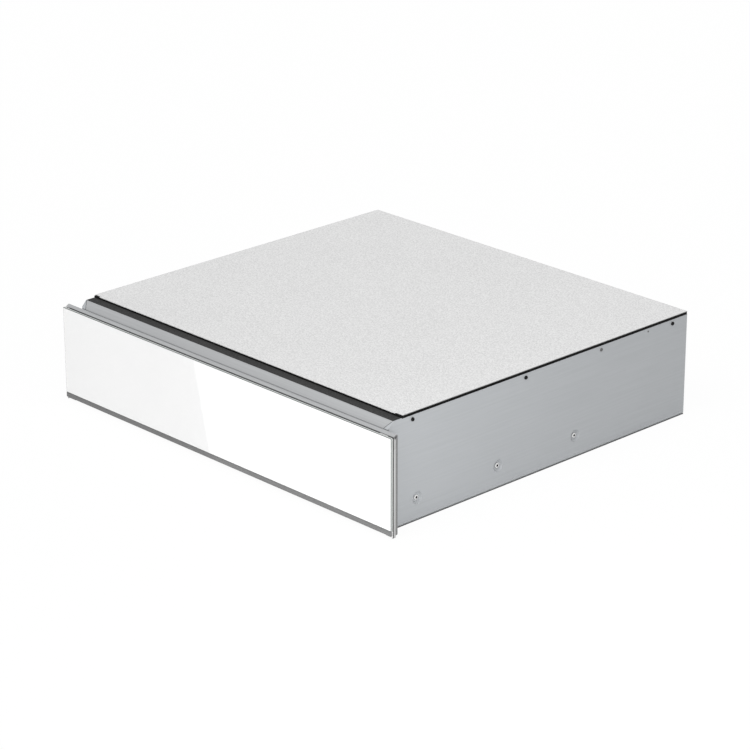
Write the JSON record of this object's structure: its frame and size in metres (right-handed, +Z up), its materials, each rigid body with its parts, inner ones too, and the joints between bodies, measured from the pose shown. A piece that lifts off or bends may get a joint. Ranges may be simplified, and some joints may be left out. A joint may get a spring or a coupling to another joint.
{
  "type": "built-in warming drawer",
  "caption": "Shallow built-in warming drawer with a glass front, sheet steel casing, push-open latch, ball-bearing rails, fan heating and a control plate beside the tub.",
  "frame": {"origin": "middle of the footprint on the underside of the casing", "axes": "+X right as seen from the front, +Y to the back, +Z up; the glass front faces -Y"},
  "size_m": [0.595, 0.53, 0.138],
  "materials": {
    "galvanised": "satin zinc-coated sheet",
    "mottled_lid": "fine mottled light grey",
    "black_seal": "matt",
    "grey_foam": "matt foam",
    "black_screws": "blackened",
    "bright_steel": "bright",
    "mineral_wool": "fibrous",
    "motor_iron": "laminated",
    "fan_aluminium": "pressed",
    "heater_sheath": "oxidised",
    "black_plastic": "fine texture",
    "pale_plastic": "fine texture",
    "lamp_lens": "clear amber",
    "white_glass": "white back-painted glass, glossy",
    "profile_aluminium": "satin anodised",
    "grey_plastic": "satin",
    "trim_grey": "satin grey",
    "carrier_grey": "satin grey",
    "bumper_rubber": "soft",
    "tub_steel": "fine brushed",
    "mat_rubber": "ribbed anti-slip"
  },
  "bodies": {
    "casing": {"air_baffle": "galvanised", "base_pan": "galvanised", "cable_gland": "black_plastic", "control_plate": "galvanised", "fan_motor": "motor_iron", "front_crossbar": "galvanised", "front_strip": "grey_foam", "heat_shield": "galvanised", "heating_element": "heater_sheath", "insulation_mat": "mineral_wool", "latch_housing": "black_plastic", "lid_panel": "mottled_lid", "lid_rivets": "bright_steel", "lid_screws": "black_screws", "lid_seal": "black_seal", "pilot_lamp": "lamp_lens", "rail_outer_left": "galvanised", "rail_outer_right": "galvanised", "rail_screws": "bright_steel", "rear_panel": "galvanised", "side_panel_left": "galvanised", "side_panel_right": "galvanised", "switch_body": "black_plastic", "terminal_block": "pale_plastic", "thermal_cutout": "black_plastic", "thermostat_body": "black_plastic"},
    "latch": {"latch_plunger": "pale_plastic"},
    "drawer": {"front_glass": "white_glass", "side_profile_left": "profile_aluminium", "side_profile_right": "profile_aluminium", "top_profile": "profile_aluminium", "corner_clips": "grey_plastic", "bottom_trim": "trim_grey", "front_carrier": "carrier_grey", "front_bumpers": "bumper_rubber", "tub": "tub_steel", "tub_mat": "mat_rubber", "striker_plate": "galvanised", "bracket_screws": "bright_steel", "rail_bracket_left": "galvanised", "rail_bracket_right": "galvanised", "rail_inner_left": "galvanised", "rail_inner_right": "galvanised"},
    "rail_middle_left": {"rail_middle_left": "galvanised"},
    "rail_middle_right": {"rail_middle_right": "galvanised"},
    "cage_outer_left": {"cage_outer_left": "bright_steel", "balls_outer_left": "bright_steel"},
    "cage_outer_right": {"cage_outer_right": "bright_steel", "balls_outer_right": "bright_steel"},
    "cage_inner_left": {"cage_inner_left": "bright_steel", "balls_inner_left": "bright_steel"},
    "cage_inner_right": {"cage_inner_right": "bright_steel", "balls_inner_right": "bright_steel"},
    "knob": {"thermostat_knob": "black_plastic"},
    "rocker": {"switch_rocker": "black_plastic"},
    "fan": {"fan_wheel": "fan_aluminium"}
  },
  "joints": [
    {"name": "latch_push", "type": "slide", "parent": "casing", "child": "latch", "axis": [0, -1, 0], "range_m": [-0.003, 0.01], "stiffness_N_per_m": 400},
    {"name": "drawer_slide", "type": "slide", "parent": "latch", "child": "drawer", "axis": [0, -1, 0], "range_m": [0, 0.4]},
    {"name": "rail_middle_left_slide", "type": "slide", "parent": "casing", "child": "rail_middle_left", "axis": [0, -1, 0], "range_m": [0, 0.2005]},
    {"name": "rail_middle_right_slide", "type": "slide", "parent": "casing", "child": "rail_middle_right", "axis": [0, -1, 0], "range_m": [0, 0.2005]},
    {"name": "cage_outer_left_slide", "type": "slide", "parent": "casing", "child": "cage_outer_left", "axis": [0, -1, 0], "range_m": [0, 0.1005]},
    {"name": "cage_outer_right_slide", "type": "slide", "parent": "casing", "child": "cage_outer_right", "axis": [0, -1, 0], "range_m": [0, 0.1005]},
    {"name": "cage_inner_left_slide", "type": "slide", "parent": "casing", "child": "cage_inner_left", "axis": [0, -1, 0], "range_m": [0, 0.3005]},
    {"name": "cage_inner_right_slide", "type": "slide", "parent": "casing", "child": "cage_inner_right", "axis": [0, -1, 0], "range_m": [0, 0.3005]},
    {"name": "knob_turn", "type": "hinge", "parent": "casing", "child": "knob", "pos_m": [0.214, -0.2362, 0.093], "axis": [0, -1, 0], "range_deg": [0, 270]},
    {"name": "rocker_tilt", "type": "hinge", "parent": "casing", "child": "rocker", "pos_m": [0.223, -0.2354, 0.066], "axis": [0, 0, 1], "range_deg": [-16, 0]},
    {"name": "fan_spin", "type": "hinge", "parent": "casing", "child": "fan", "pos_m": [-0.03, 0.19, 0.063], "axis": [0, 1, 0], "continuous": true}
  ],
  "couplings": [
    {"joint": "rail_middle_left_slide", "follows": "drawer_slide", "ratio": 0.5},
    {"joint": "rail_middle_right_slide", "follows": "drawer_slide", "ratio": 0.5},
    {"joint": "cage_outer_left_slide", "follows": "drawer_slide", "ratio": 0.25},
    {"joint": "cage_outer_right_slide", "follows": "drawer_slide", "ratio": 0.25},
    {"joint": "cage_inner_left_slide", "follows": "drawer_slide", "ratio": 0.75},
    {"joint": "cage_inner_right_slide", "follows": "drawer_slide", "ratio": 0.75}
  ]
}
